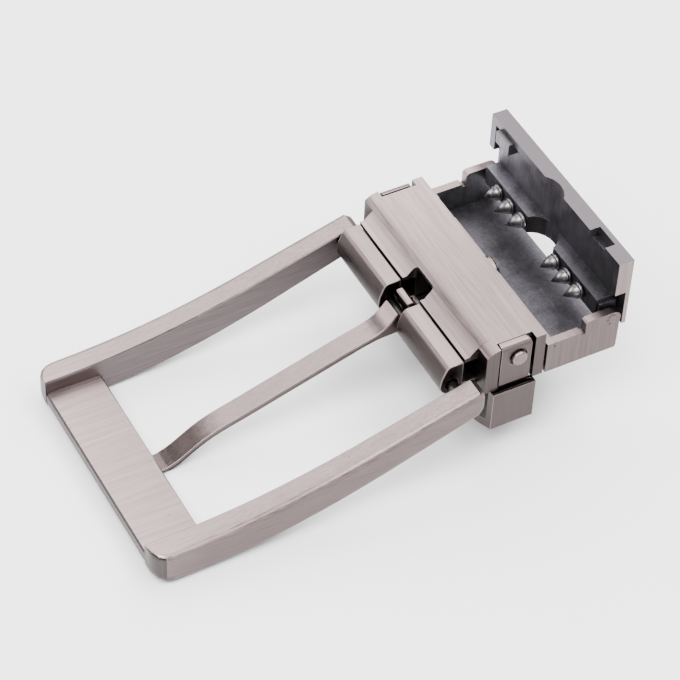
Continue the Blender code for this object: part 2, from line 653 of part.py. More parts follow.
def make_jaw(finish, parent):
    skin_face = JAW_BACK - JAW_SKIN
    outline = [(JAW_BACK, -JAW_TAIL), (JAW_BACK, JAW_TOP), (JAW_RIM_FACE, JAW_TOP)]
    outline += [(JAW_RIM_FACE, JAW_SIDE_RIM_FOOT), (skin_face, JAW_SIDE_RIM_FOOT), (skin_face, -JAW_TAIL)]
    mesh = bmesh.new()
    add_prism(mesh, housing_points(outline), "y", -JAW_HALF_WIDTH, JAW_HALF_WIDTH)
    jaw = new_object("jaw", mesh, finish, parent)

    mesh = bmesh.new()
    wall_face = JAW_POCKET_FLOOR - 0.3
    wall_top = JAW_SIDE_RIM_FOOT + 0.25
    bar = [(JAW_BAR_FACE, -JAW_BAR_BOTTOM), (JAW_BAR_FACE, 0.1), (wall_face, 0.45), (wall_face, wall_top)]
    bar += [(skin_face + 0.3, wall_top), (skin_face + 0.3, -JAW_BAR_BOTTOM)]
    add_prism(mesh, housing_points(bar), "y", -JAW_BAR_HALF_WIDTH, JAW_BAR_HALF_WIDTH)
    join(jaw, mesh, "tooth_bar")

    mesh = bmesh.new()
    inner = JAW_HALF_WIDTH - JAW_RIM
    pocket = (COVER_REAR + JAW_RIM_FACE - 1.0, COVER_REAR + JAW_POCKET_FLOOR)
    add_box(mesh, pocket, (-inner, inner), (COVER_TOP + 0.3, COVER_TOP + JAW_TOP - JAW_RIM))
    cut(jaw, mesh, "lid_pocket")

    mesh = bmesh.new()
    axis = (JAW_AXIS_BEHIND_REAR, -JAW_AXIS_BELOW_TOP)
    lug = arc(axis, 1.6, 180.0, 360.0, 8) + [(axis[0] + 1.6, -0.4), (axis[0] - 1.6, -0.4)]
    for side in (-1, 1):
        reach = sorted((side * 14.4, side * (TRAY_HALF_WIDTH - TRAY_WALL - 0.4)))
        add_prism(mesh, housing_points(lug), "y", *reach)
    join(jaw, mesh, "jaw_lugs")

    mesh = bmesh.new()
    tab = (COVER_REAR + 11.5, COVER_REAR + skin_face + 0.3)
    add_box(mesh, tab, (12.6, 16.6), (COVER_TOP + 6.0, COVER_TOP + 8.3))
    join(jaw, mesh, "snap_tab")

    mesh = bmesh.new()
    bite = (COVER_REAR + JAW_BITE_CENTRE, 0.0)
    add_rod(mesh, "z", bite, JAW_BITE_RADIUS, COVER_TOP - 8.0, COVER_TOP + 12.0, sides=40)
    cut(jaw, mesh, "spindle_bite")

    mesh = bmesh.new()
    notch = (COVER_REAR + JAW_RIM_FACE - 1.0, COVER_REAR + JAW_RIM_FACE + 1.85)
    add_box(mesh, notch, (-15.35, -10.85), (COVER_TOP + JAW_TOP - JAW_RIM - 0.5, COVER_TOP + JAW_TOP + 1.0))
    cut(jaw, mesh, "rim_notch")

    mesh = bmesh.new()
    for side in (-1, 1):
        reach = sorted((side * 16.2, side * 19.0))
        add_rod(mesh, "y", (JAW_X, JAW_Z), JAW_BORE_RADIUS, *reach, sides=16)
    cut(jaw, mesh, "jaw_bores")

    mesh = bmesh.new()
    socket = (COVER_REAR + JAW_BAR_FACE - 0.5, COVER_REAR + JAW_BAR_FACE + 1.5)
    for y in tooth_places():
        add_rod(mesh, "x", (y, COVER_TOP - TOOTH_BELOW_TOP), 1.05, *socket, sides=12)
    cut(jaw, mesh, "tooth_sockets")
    soften(jaw, 0.12)
    return jaw


def tooth_places():
    one_side = [TOOTH_FIRST + TOOTH_PITCH * i for i in range(TEETH_A_SIDE)]
    return [-y for y in reversed(one_side)] + one_side


def make_tooth(name, y, finish, parent):
    tip = COVER_REAR + TOOTH_TIP
    root = COVER_REAR + TOOTH_ROOT
    profile = [(tip, 0.0), (tip + 2.45, TOOTH_RADIUS - 0.08), (tip + 2.55, TOOTH_RADIUS - 0.32)]
    profile += [(tip + 2.7, TOOTH_RADIUS - 0.32), (tip + 2.8, TOOTH_RADIUS), (tip + 3.2, TOOTH_RADIUS)]
    profile += [(tip + 3.2, 0.75), (root, 0.75), (root, 0.0)]
    mesh = bmesh.new()
    add_turned(mesh, "x", (y, COVER_TOP - TOOTH_BELOW_TOP), profile, 16)
    tooth = new_object(name, mesh, finish, parent)
    shade_round(tooth)
    return tooth


def build():
    clear_scene()
    frame_pivot = pivot("frame_axis", (HINGE_X, 0.0, HINGE_Z))
    prong_pivot = pivot("prong_axis", (HINGE_X, 0.0, HINGE_Z))
    swivel = pivot("swivel_axis", (COVER_REAR, 0.0, SWIVEL_Z))
    jaw_pivot = pivot("jaw_axis", (JAW_X, 0.0, JAW_Z))

    make_cover(metal("brushed_cover", (0.56, 0.52, 0.51), 0.36))
    make_bracket(metal("satin_bracket", (0.54, 0.5, 0.5), 0.4))
    make_hinge_pin(metal("steel_pin", (0.5, 0.49, 0.48), 0.3))
    make_keeper(metal("brushed_keeper", (0.5, 0.47, 0.46), 0.38))
    make_rivet("near_rivet", -1, metal("near_rivet_metal", (0.5, 0.47, 0.46), 0.35))
    make_rivet("far_rivet", 1, metal("far_rivet_metal", (0.5, 0.47, 0.46), 0.35))
    make_frame(metal("brushed_frame", (0.56, 0.52, 0.51), 0.36), frame_pivot)
    make_prong(metal("satin_prong", (0.55, 0.51, 0.5), 0.38), prong_pivot)
    make_spindle(metal("spindle_steel", (0.5, 0.48, 0.46), 0.35), swivel)
    make_tray(metal("dark_tray", (0.26, 0.26, 0.29), 0.4), swivel)
    make_jaw_pin("near_jaw_pin", -1, metal("near_pin_steel", (0.4, 0.39, 0.39), 0.35), swivel)
    make_jaw_pin("far_jaw_pin", 1, metal("far_pin_steel", (0.4, 0.39, 0.39), 0.35), swivel)
    make_jaw(metal("dark_jaw", (0.26, 0.26, 0.28), 0.42), jaw_pivot)
    for number, y in enumerate(tooth_places(), start=1):
        finish = metal(f"tooth_{number}_metal", (0.42, 0.42, 0.43), 0.28)
        make_tooth(f"tooth_{number}", y, finish, jaw_pivot)


build()
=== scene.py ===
"""Dresses the pin buckle: satin gunmetal plating, brushed on the outside and left as cast inside.

Lengths are in millimetres and become metres where a mesh, a pattern or a light is placed.
"""
import json
import math
from collections import namedtuple

import bpy
from mathutils import Matrix, Vector


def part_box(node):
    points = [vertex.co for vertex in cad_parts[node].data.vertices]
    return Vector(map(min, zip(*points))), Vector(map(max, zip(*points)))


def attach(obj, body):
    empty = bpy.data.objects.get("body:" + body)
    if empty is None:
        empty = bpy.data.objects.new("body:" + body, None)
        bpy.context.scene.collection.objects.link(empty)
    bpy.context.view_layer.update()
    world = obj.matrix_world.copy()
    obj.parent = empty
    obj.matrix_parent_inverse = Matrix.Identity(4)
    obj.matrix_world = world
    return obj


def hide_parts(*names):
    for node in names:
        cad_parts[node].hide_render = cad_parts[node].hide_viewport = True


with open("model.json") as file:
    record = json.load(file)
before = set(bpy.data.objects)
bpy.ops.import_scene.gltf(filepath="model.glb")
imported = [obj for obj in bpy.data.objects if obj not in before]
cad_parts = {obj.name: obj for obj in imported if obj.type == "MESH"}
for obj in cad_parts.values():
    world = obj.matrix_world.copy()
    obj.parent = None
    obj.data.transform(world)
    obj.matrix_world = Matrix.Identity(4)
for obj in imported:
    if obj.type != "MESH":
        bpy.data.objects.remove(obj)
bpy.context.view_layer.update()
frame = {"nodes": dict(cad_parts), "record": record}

MM = 0.001
BODIES = {node: body for body, nodes in frame["record"]["behaviour"]["bodies"].items() for node in nodes}
BOXES = {node: [Vector(corner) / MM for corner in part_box(node)] for node in frame["nodes"]}

# Camera, from the photograph's own perspective
VIEW_AZIMUTH = -30.29
VIEW_ELEVATION = 45.97
VIEW_ROLL = 3.11
VIEW_DISTANCE = 437.3
VIEW_LENS = 149.53
LOOKS_AT = (-2.91, -7.08, 22.6)
SENSOR_WIDTH = 36.0
NEAREST_SEEN = 10.0

# Studio
SoftBox = namedtuple("SoftBox", "name azimuth elevation distance width height brightness")
SOFT_BOXES = (
    SoftBox("back_softbox", 150.0, 50.0, 700.0, 900.0, 600.0, 6.2),
    SoftBox("left_softbox", -127.0, 20.0, 700.0, 500.0, 220.0, 8.6),
    SoftBox("key_softbox", -60.0, 62.0, 800.0, 500.0, 500.0, 17.0),
    SoftBox("front_fill", 25.0, 14.0, 700.0, 600.0, 220.0, 3.0),
    SoftBox("edge_softbox", 54.0, 60.0, 700.0, 600.0, 420.0, 8.5),
)
SKY_COLOUR = (0.95, 0.96, 1.0)
SKY_STRENGTH = 0.35
FLOOR_COLOUR = (0.9, 0.9, 0.9)
FLOOR_SIZE = 4000.0

# Colours of the plating, the castings and the steel
PLATING = (0.215, 0.166, 0.163)
# Painted shade: a darker plating on the sides of the opening between the frame's arms
WINDOW_PAINTED_SHADE = (0.11, 0.089, 0.091)
# Painted shade: a darker plating still on the frame's end bar and its outer corners
FRAME_END_PAINTED_SHADE = (0.066, 0.056, 0.055)
LID_RIM_PLATING = (0.098, 0.087, 0.093)
DARK_CASTING = (0.1, 0.094, 0.106)
# Painted shade: near-black in the hollow under the cover and in its notch
COVER_CAVITY_PAINTED_SHADE = (0.035, 0.029, 0.029)
TOOTH_STEEL = (0.22, 0.205, 0.21)
# Lighter edges, partly wear and partly painted highlight
WORN_AND_HIGHLIT_PLATING = (0.25, 0.2, 0.195)
WORN_AND_HIGHLIT_CASTING = (0.17, 0.16, 0.172)
# Dark steel, partly the pins' own colour and partly painted shade
PIN_STEEL_AND_PAINTED_SHADE = (0.045, 0.041, 0.041)
CASTING_METALLIC = 0.9

# Brush strokes: how the pattern is stretched along each, and the way it runs. The stroke leans a little off
# its axis, so that it has a direction on the faces square to the axis too
Stroke = namedtuple("Stroke", "stretch direction")
STROKES = {
    "x": Stroke((0.025, 1.0, 1.0), (1.0, 0.04, 0.03)),
    "y": Stroke((1.0, 0.025, 1.0), (0.03, 1.0, 0.04)),
    "z": Stroke((1.0, 1.0, 0.025), (0.04, 0.03, 1.0)),
    "rings": Stroke((1.0, 0.03, 0.03), (1.0, 0.04, 0.03)),
}
SCUFFS = {"y": (1.0, 0.1, 1.0), "z": (1.0, 1.0, 0.1)}
SIDE_TURN = (0.6, 0.8)

# Patterns, with a scale in features to a millimetre. As the noise goes from low to high, the brightness
# changes from down to up
Pattern = namedtuple("Pattern", "scale detail rough low high down up")
FINE_STROKES = Pattern(4.5, 2.0, 0.6, 0.3, 0.7, -0.2, 0.2)
BROAD_STROKES = Pattern(1.1, 2.0, 0.5, 0.3, 0.7, -0.07, 0.07)
PLATING_CLOUDS = Pattern(0.12, 2.0, 0.55, 0.3, 0.7, -0.06, 0.06)
DIRT_SPECKS = Pattern(1.4, 2.0, 0.5, 0.72, 0.76, 1.0, 0.65)
CASTING_CLOUDS = Pattern(0.3, 6.0, 0.66, 0.32, 0.68, -0.2, 0.22)
CASTING_GRAIN = Pattern(5.0, 3.0, 0.55, 0.3, 0.7, -0.14, 0.14)
DRAG_LINES = Pattern(1.8, 4.0, 0.7, 0.3, 0.7, -0.2, 0.2)
CASTING_SCUFFS = Pattern(1.5, 5.0, 0.7, 0.58, 0.72, 0.0, 0.7)

# How much the patterns change the roughness, over the span that noise mostly keeps to
NOISE_SPAN = (0.3, 0.7)
STROKE_GLOSS = (-0.06, 0.06)
CLOUD_GLOSS = (-0.03, 0.03)
CASTING_GLOSS = (-0.08, 0.1)

# Relief of the brush strokes and of the casting's skin
STROKE_RELIEF = 0.2
STROKE_DEPTH = 0.02
CASTING_RELIEF = 0.35
CASTING_DEPTH = 0.08
CLOUD_HEIGHT = 0.7
GRAIN_HEIGHT = 0.3

# Painted shade in gaps, which makes them darker than open places: how far round it a place looks for a
# wall, the shares of open air at which it counts as closed and as open, and the share of brightness that is
# left where it is closed
Gap = namedtuple("Gap", "width closed open share")
NARROW_GAP = Gap(0.7, 0.3, 0.8, 0.35)
WIDE_GAP = Gap(3.0, 0.15, 0.55, 0.5)
CASTING_GAP = Gap(2.2, 0.2, 0.9, 0.6)
GAP_SAMPLES = 12

# Places where a plating gets darker: painted shade on the faces that look along an axis, and a stretch along
# an axis. A face starts to darken where its normal reaches the low value, and keeps the share from the high
# value on
Shade = namedtuple("Shade", "axis share low high", defaults=(0.8, 0.92))
Fade = namedtuple("Fade", "axis start end first last")

# Edges
WELD = 0.002
FLAT_ANGLE = math.radians(0.6)
SHARP_ANGLE = math.radians(40.0)
SOFT_ANGLE = math.radians(32.0)
WORN_EDGE = 0.12
WORN_EDGE_STEPS = 2
EDGE_SLOT = 1
SMOOTHING_WEIGHT = 80

# How squarely a face looks along an axis, from 0 to 1
HARDLY = 0.2
PARTLY = 0.5
MOSTLY = 0.7
SQUARELY = 0.9

# Places where a finish changes, measured from the edges of each piece's box, or from its middle for a half
FRAME_END_ROUND = 2.9
COVER_FRONT_WALL = 3.4
COVER_REAR_EDGE = 1.0
COVER_SIDE_WALL = 1.6
COVER_TOP_SHEET = 1.2
COVER_NOTCH_HALF = 3.2
COVER_NOTCH_START = 10.2
KEEPER_EARS = 6.0
TRAY_SIDE_WALL = 1.3
TRAY_END_WALL = 1.1
TRAY_FLOOR = 1.0
TRAY_WALL_TOP = 3.0
EAR_THICKNESS = 2.2
EAR_ROUND = 1.35
LID_EDGE_BAND = 0.2
LID_RIM = 1.85
BITE_HALF = 4.3
BITE_TOP = 5.9
BITE_DEPTH = 0.95

# The tray's marks, on both of its side walls: a pit, measured from the wall's lower corner by the housing,
# and punch marks in a ring round the lid's pin, painted as dark dots for the shade in these small hollows
PIT = (1.31, 5.4)
PUNCH_MARKS = ((-0.25, 1.1), (-0.65, 0.8), (-0.85, 0.2), (-0.45, -0.7), (0.25, 0.9))
PIT_CORE = 0.12
PIT_EDGE = 0.28
PIT_SHARE = 0.2

# Slow changes of brightness along a piece: painted light on the cover, brighter on the far side, a painted
# highlight on the arms towards the end bar, painted shade towards the prong's tip, and the tray's ear tops
# lighter, then darker along x
COVER_PAINTED_LIGHT = Fade("Y", -4.0, 16.0, 0.86, 1.2)
ARMS_PAINTED_HIGHLIGHT = Fade("X", -41.0, -33.0, 1.2, 1.0)
EAR_TOP_DARKENING = Fade("X", 35.6, 37.6, 1.2, 0.35)
PRONG_TIP_PAINTED_SHADE = Fade("X", -25.0, -22.0, 0.42, 1.0)
NEAR_SIDE = -17.0
FAR_SIDE = 15.0


# Mesh tools

def deselect_all():
    bpy.ops.object.select_all(action="DESELECT")


def make_active(piece):
    deselect_all()
    piece.select_set(True)
    bpy.context.view_layer.objects.active = piece


def apply_modifier(piece, kind, **settings):
    make_active(piece)
    step = piece.modifiers.new(kind.lower(), kind)
    for setting, value in settings.items():
        setattr(step, setting, value)
    bpy.ops.object.modifier_apply(modifier=step.name)


def smooth_copy(node):
    """A welded copy of a CAD node, which takes the node's place.

    Its sharp edges are rounded a little, with a finish of their own, and its curved walls are shaded smooth.
    """
    piece = frame["nodes"][node].copy()
    piece.data = piece.data.copy()
    piece.name = node + "_skin"
    piece.parent = None
    bpy.context.scene.collection.objects.link(piece)
    make_active(piece)
    bpy.ops.object.mode_set(mode="EDIT")
    bpy.ops.mesh.select_all(action="SELECT")
    bpy.ops.mesh.remove_doubles(threshold=WELD * MM)
    bpy.ops.mesh.dissolve_limited(angle_limit=FLAT_ANGLE)
    bpy.ops.object.mode_set(mode="OBJECT")
    piece.data.materials.clear()
    for empty_slot in (None, None):
        piece.data.materials.append(empty_slot)
    edge = {"width": WORN_EDGE * MM, "segments": WORN_EDGE_STEPS, "angle_limit": SHARP_ANGLE}
    apply_modifier(piece, "BEVEL", material=EDGE_SLOT, **edge)
    bpy.ops.object.shade_smooth_by_angle(angle=SOFT_ANGLE)
    apply_modifier(piece, "WEIGHTED_NORMAL", keep_sharp=True, weight=SMOOTHING_WEIGHT)
    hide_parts(node)
    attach(piece, BODIES[node])
    return piece


def paint(piece, finish, edge_wear_and_light):
    """Gives a piece its main finish and the finish of its rounded edges."""
    piece.data.materials[0] = finish
    piece.data.materials[EDGE_SLOT] = edge_wear_and_light


def paint_where(piece, finish, chosen):
    """Gives another finish to the faces that the test picks by their middle and normal, but not to rounded
    edges.
    """
    piece.data.materials.append(finish)
    index = len(piece.data.materials) - 1
    for face in piece.data.polygons:
        if face.material_index != EDGE_SLOT and chosen(face.center / MM, face.normal):
            face.material_index = index


# Material tools

class Finish:
    """One material. Its methods add shader nodes and join them."""

    MIX_SOCKETS = {"FLOAT": (2, 3, 0), "VECTOR": (4, 5, 1), "RGBA": (6, 7, 2)}

    def __init__(self, name):
        self.material = bpy.data.materials.new(name)
        self.material.use_nodes = True
        self.tree = self.material.node_tree

    def join(self, value, socket):
        if isinstance(value, bpy.types.NodeSocket):
            self.tree.links.new(value, socket)
        else:
            socket.default_value = value

    def add(self, kind, inputs=(), **settings):
        node = self.tree.nodes.new("ShaderNode" + kind)
        for setting, value in settings.items():
            setattr(node, setting, value)
        for socket, value in dict(inputs).items():
            self.join(value, node.inputs[socket])
        return node

    def surface(self, inputs):
        shader = self.tree.nodes["Principled BSDF"]
        for socket, value in inputs.items():
            self.join(value, shader.inputs[socket])
        return self.material

    def place(self):
        return self.add("TexCoord").outputs["Object"]

    def place_along(self, axis):
        return self.add("SeparateXYZ", {"Vector": self.place()}).outputs[axis]

    def noise(self, pattern, stretch=(1.0, 1.0, 1.0)):
        spread = self.add("Mapping", {"Vector": self.place(), "Scale": stretch}).outputs[0]
        look = {"Scale": pattern.scale / MM, "Detail": pattern.detail, "Roughness": pattern.rough}
        return self.add("TexNoise", {"Vector": spread, **look}).outputs["Fac"]

    def calculate(self, operation, *values):
        node = self.add("Math", operation=operation)
        for value, socket in zip(values, node.inputs):
            self.join(value, socket)
        return node.outputs[0]

    def total(self, first, *others):
        for other in others:
            first = self.calculate("ADD", first, other)
        return first

    def product(self, first, *others):
        for other in others:
            first = self.calculate("MULTIPLY", first, other)
        return first

    def ranged(self, value, low, high, start, end):
        inputs = {"Value": value, "From Min": low, "From Max": high, "To Min": start, "To Max": end}
        return self.add("MapRange", inputs).outputs["Result"]

    def change(self, noise, pattern):
        """The change of brightness that a pattern's noise makes."""
        return self.ranged(noise, pattern.low, pattern.high, pattern.down, pattern.up)

    def mix(self, kind, share, first, second, **settings):
        """Blends two numbers, vectors or colours, as the kind says."""
        node = self.add("Mix", data_type=kind, **settings)
        first_socket, second_socket, result = self.MIX_SOCKETS[kind]
        for socket, value in ((0, share), (first_socket, first), (second_socket, second)):
            self.join(value, node.inputs[socket])
        return node.outputs[result]

    def shaded(self, colour, light):
        """The colour, brighter or darker by a factor."""
        grey = self.add("CombineColor", {"Red": light, "Green": light, "Blue": light}).outputs[0]
        return self.mix("RGBA", 1.0, (*colour, 1.0), grey, blend_type="MULTIPLY")

    def normal(self):
        return self.add("NewGeometry").outputs["Normal"]

    def facing(self, axis):
        """How squarely the surface faces along an axis, from 0 to 1."""
        part = self.add("SeparateXYZ", {"Vector": self.normal()}).outputs[axis]
        return self.calculate("ABSOLUTE", part)

    def gap_shade(self, gap):
        """Painted shade in gaps: 1 in the open, falling to the gap's share deep inside it."""
        inputs = {"Distance": gap.width * MM}
        open_air = self.add("AmbientOcclusion", inputs, samples=GAP_SAMPLES).outputs["AO"]
        return self.ranged(open_air, gap.closed, gap.open, gap.share, 1.0)

    def relief(self, strength, depth, height):
        inputs = {"Strength": strength, "Distance": depth * MM, "Height": height}
        return self.add("Bump", inputs).outputs[0]


# Plating

def brush_marks(n, stroke):
    """Fine and broad streaks along a stroke, and the way it runs."""
    stretch, direction = STROKES[stroke]
    way = n.add("CombineXYZ", dict(zip("XYZ", direction))).outputs[0]
    return n.noise(FINE_STROKES, stretch), n.noise(BROAD_STROKES, stretch), way


def two_way_marks(n, stroke):
    """Brush marks that run upright on the sides of the buckle, and along the stroke elsewhere."""
    on_side = n.ranged(n.facing("Y"), *SIDE_TURN, 0.0, 1.0)
    marks = zip(("FLOAT", "FLOAT", "VECTOR"), brush_marks(n, stroke), brush_marks(n, "z"))
    return [n.mix(kind, on_side, here, upright) for kind, here, upright in marks]


def pit_shade(n, x, z):
    """A small dark dot at a place along and up the buckle, on each side of it: painted shade of a small
    hollow.
    """
    flat = n.add("Mapping", {"Vector": n.place(), "Scale": (1.0, 0.0, 1.0)}).outputs[0]
    ends = {0: flat, 1: (x * MM, 0.0, z * MM)}
    apart = n.add("VectorMath", ends, operation="DISTANCE").outputs["Value"]
    return n.ranged(apart, PIT_CORE * MM, PIT_EDGE * MM, PIT_SHARE, 1.0)


def across_stroke(n, direction):
    """The way across the strokes in the surface, along which they spread the light.

    It is exact at rest, where a piece's own axes are the buckle's axes.
    """
    turned = n.add("VectorTransform", {"Vector": direction}, vector_type="VECTOR").outputs[0]
    return n.add("VectorMath", {0: n.normal(), 1: turned}, operation="CROSS_PRODUCT").outputs[0]


def brushed(name, colour, stroke, roughness=0.36, streaks=1.0, upright_sides=False,
            shades=(), fades=(), pits=(), sheen=0.6):
    """Satin plating over brushed zinc, or steel with the marks of drawing or turning.

    A shade darkens the faces that look along its axis, as painted shade. A fade goes from one share of the
    brightness to another between two places. Pits are small dark dots, given by x and z.
    """
    n = Finish(name)
    marks = two_way_marks if upright_sides else brush_marks
    lines, broad, direction = marks(n, stroke)
    cloud = n.noise(PLATING_CLOUDS)
    patterns = ((lines, FINE_STROKES), (broad, BROAD_STROKES), (cloud, PLATING_CLOUDS))
    uneven = n.total(*[n.change(noise, pattern) for noise, pattern in patterns])
    light = n.total(n.product(uneven, streaks), n.gap_shade(NARROW_GAP))
    light = n.product(light, n.gap_shade(WIDE_GAP))
    for shade in shades:
        light = n.product(light, n.ranged(n.facing(shade.axis), shade.low, shade.high, 1.0, shade.share))
    for fade in fades:
        stretch = (fade.start * MM, fade.end * MM)
        light = n.product(light, n.ranged(n.place_along(fade.axis), *stretch, fade.first, fade.last))
    for x, z in pits:
        light = n.product(light, pit_shade(n, x, z))
    light = n.product(light, n.change(n.noise(DIRT_SPECKS), DIRT_SPECKS))
    gloss = n.total(n.ranged(lines, *NOISE_SPAN, *STROKE_GLOSS), n.ranged(cloud, *NOISE_SPAN, *CLOUD_GLOSS))
    return n.surface({
        "Base Color": n.shaded(colour, light),
        "Metallic": 1.0,
        "Roughness": n.total(gloss, roughness),
        "Normal": n.relief(STROKE_RELIEF * streaks, STROKE_DEPTH, lines),
        "Anisotropic": sheen,
        "Tangent": across_stroke(n, direction),
    })


# Castings

def as_cast(name, colour, roughness=0.42, mottle=1.0, scuffs="y", near=1.0, far=1.0):
    """Dark plating over a casting's own skin: soft mottling, grain and faint drag lines from the die.

    Scuffs run along one axis. The brightness changes across the buckle from a near to a far share.
    """
    n = Finish(name)
    cloud = n.noise(CASTING_CLOUDS)
    grain = n.noise(CASTING_GRAIN)
    drag = n.noise(DRAG_LINES, STROKES["z"].stretch)
    scuff = n.noise(CASTING_SCUFFS, SCUFFS[scuffs])
    patterns = ((cloud, CASTING_CLOUDS), (grain, CASTING_GRAIN), (drag, DRAG_LINES), (scuff, CASTING_SCUFFS))
    uneven = n.total(*[n.change(noise, pattern) for noise, pattern in patterns])
    light = n.total(n.product(uneven, mottle), n.gap_shade(CASTING_GAP))
    light = n.product(light, n.ranged(n.place_along("Y"), NEAR_SIDE * MM, FAR_SIDE * MM, near, far))
    height = n.total(n.product(cloud, CLOUD_HEIGHT), n.product(grain, GRAIN_HEIGHT))
    smoothest, roughest = (roughness + change for change in CASTING_GLOSS)
    return n.surface({
        "Base Color": n.shaded(colour, light),
        "Metallic": CASTING_METALLIC,
        "Roughness": n.ranged(cloud, *NOISE_SPAN, smoothest, roughest),
        "Normal": n.relief(CASTING_RELIEF, CASTING_DEPTH, height),
    })


# Housing

def inside_cover(middle, normal):
    low, high = BOXES["cover"]
    between_ends = low.x + COVER_FRONT_WALL < middle.x < high.x - COVER_REAR_EDGE
    between_sides = abs(middle.y) < high.y - COVER_SIDE_WALL
    under_sheet = between_ends and between_sides and middle.z < high.z - COVER_TOP_SHEET
    beside_prong = abs(middle.y) < COVER_NOTCH_HALF and middle.x < high.x - COVER_NOTCH_START
    return under_sheet or (beside_prong and normal.z < PARTLY)


def on_keeper_shoulder(middle, normal):
    """The keeper's upper faces, which lie hidden under the cover and get painted shade."""
    return normal.z > PARTLY and middle.z < BOXES["keeper"][1].z - KEEPER_EARS


def dress_cover(cover, edge_wear_and_light):
    shades = [Shade("Y", 0.28), Shade("X", 0.1, 0.85, 0.97)]
    finish = {"streaks": 1.2, "upright_sides": True, "shades": shades, "fades": [COVER_PAINTED_LIGHT]}
    paint(cover, brushed("brushed_cover_plating", PLATING, "y", **finish), edge_wear_and_light["plating"])
    # Painted shade: near-black over the casting's skin in the cover's hollow and notch
    paint_where(cover, as_cast("cast_cover_plating_painted_shade", COVER_CAVITY_PAINTED_SHADE), inside_cover)


def dress_bracket(bracket, edge_wear_and_light):
    shades = [Shade("X", 0.22, 0.55, 0.88), Shade("Y", 0.2)]
    finish = {"roughness": 0.34, "streaks": 0.8, "upright_sides": True, "shades": shades}
    paint(bracket, brushed("satin_knuckle_plating", PLATING, "y", **finish), edge_wear_and_light["plating"])


def dress_keeper(keeper, edge_wear_and_light):
    shades = [Shade("Y", 0.31), Shade("X", 0.38, 0.6, 0.9)]
    finish = {"roughness": 0.38, "streaks": 0.6, "upright_sides": True, "shades": shades}
    paint(keeper, brushed("brushed_keeper_plating", PLATING, "y", **finish), edge_wear_and_light["plating"])
    # Painted shade: the dark steel finish on the keeper's shoulder under the cover
    paint_where(keeper, edge_wear_and_light["steel"], on_keeper_shoulder)


def dress_rivets(near, far, edge_wear_and_light):
    plating = brushed("rivet_head_plating", PLATING, "x", streaks=0.7, shades=[Shade("Y", 0.72)])
    for rivet in (near, far):
        paint(rivet, plating, edge_wear_and_light["plating"])


# Frame and prong

def inside_window(middle, normal):
    """The sides of the opening between the arms, which look at each other and get painted shade."""
    return abs(normal.y) > MOSTLY and normal.y * middle.y < 0.0


def on_frame_end(middle, normal):
    """The end bar's outer face and the corners that turn into it, which get a darker painted shade."""
    at_end = middle.x < BOXES["frame"][0].x + FRAME_END_ROUND
    return at_end and normal.x < -HARDLY and abs(normal.z) < MOSTLY


def dress_frame(buckle_frame, edge_wear_and_light):
    arms = brushed("brushed_frame_plating", PLATING, "x", shades=[Shade("Y", 0.6)], fades=[ARMS_PAINTED_HIGHLIGHT])
    # Painted shade: darker platings on the sides of the opening and on the end bar's outer face
    window = brushed("satin_frame_window_plating_painted_shade", WINDOW_PAINTED_SHADE, "x", 0.4)
    end = brushed("satin_frame_end_plating_painted_shade", FRAME_END_PAINTED_SHADE, "z", 0.38, 0.8)
    paint(buckle_frame, arms, edge_wear_and_light["plating"])
    paint_where(buckle_frame, window, inside_window)
    paint_where(buckle_frame, end, on_frame_end)


def dress_prong(prong, edge_wear_and_light):
    finish = {"streaks": 0.8, "shades": [Shade("Y", 0.35, 0.5, 0.9)], "fades": [PRONG_TIP_PAINTED_SHADE]}
    paint(prong, brushed("satin_prong_plating", PLATING, "x", **finish), edge_wear_and_light["plating"])


# Pins and spindle

def dress_pins(hinge_pin, near_jaw_pin, far_jaw_pin, edge_wear_and_light):
    # The pins' steel is darkened past its own colour as painted shade
    steel = brushed("drawn_pin_steel_and_painted_shade", PIN_STEEL_AND_PAINTED_SHADE, "y", 0.32, 0.7)
    paint(hinge_pin, steel, edge_wear_and_light["steel"])
    for staked_pin in (near_jaw_pin, far_jaw_pin):
        paint(staked_pin, steel, edge_wear_and_light["plating"])


def dress_spindle(spindle, edge_wear_and_light):
    paint(spindle, as_cast("peened_spindle_steel", DARK_CASTING, 0.4, 0.6), edge_wear_and_light["steel"])


# Clamp

def inside_tray(middle, normal):
    low, high = BOXES["tray"]
    between_walls = abs(middle.y) < high.y - TRAY_SIDE_WALL and middle.x > low.x + TRAY_END_WALL
    on_wall_top = normal.z > SQUARELY and middle.z > low.z + TRAY_WALL_TOP
    return between_walls and middle.z > low.z + TRAY_FLOOR and not on_wall_top


def on_ear_top(middle, normal):
    """The tops of the tray's raised ears by the lid's hinge, which get darker along x."""
    high = BOXES["tray"][1]
    on_ear = abs(middle.y) > high.y - EAR_THICKNESS and middle.z > high.z - EAR_ROUND
    return normal.z > PARTLY and on_ear


def tray_pits():
    corner = BOXES["tray"][0]
    pin = sum(BOXES["near_jaw_pin"], Vector()) / 2.0
    ring = [(pin.x + x, pin.z + z) for x, z in PUNCH_MARKS]
    return [(corner.x + PIT[0], corner.z + PIT[1]), *ring]


def dress_tray(tray, edge_wear_and_light):
    finish = {"upright_sides": True, "shades": [Shade("Y", 0.45)], "pits": tray_pits()}
    paint(tray, brushed("brushed_tray_plating", PLATING, "y", **finish), edge_wear_and_light["casting"])
    paint_where(tray, as_cast("cast_tray_plating", DARK_CASTING, far=0.8), inside_tray)
    paint_where(tray, brushed("darkening_ear_plating", PLATING, "y", 0.4, fades=[EAR_TOP_DARKENING]), on_ear_top)


def inside_lid(middle, normal):
    """The lid's hollow and its tooth bar. The test doesn't need the normal."""
    high = BOXES["jaw"][1]
    on_edge = abs(middle.y) > high.y - LID_EDGE_BAND or middle.z > high.z - LID_EDGE_BAND
    return not on_edge and middle.x < high.x - LID_EDGE_BAND


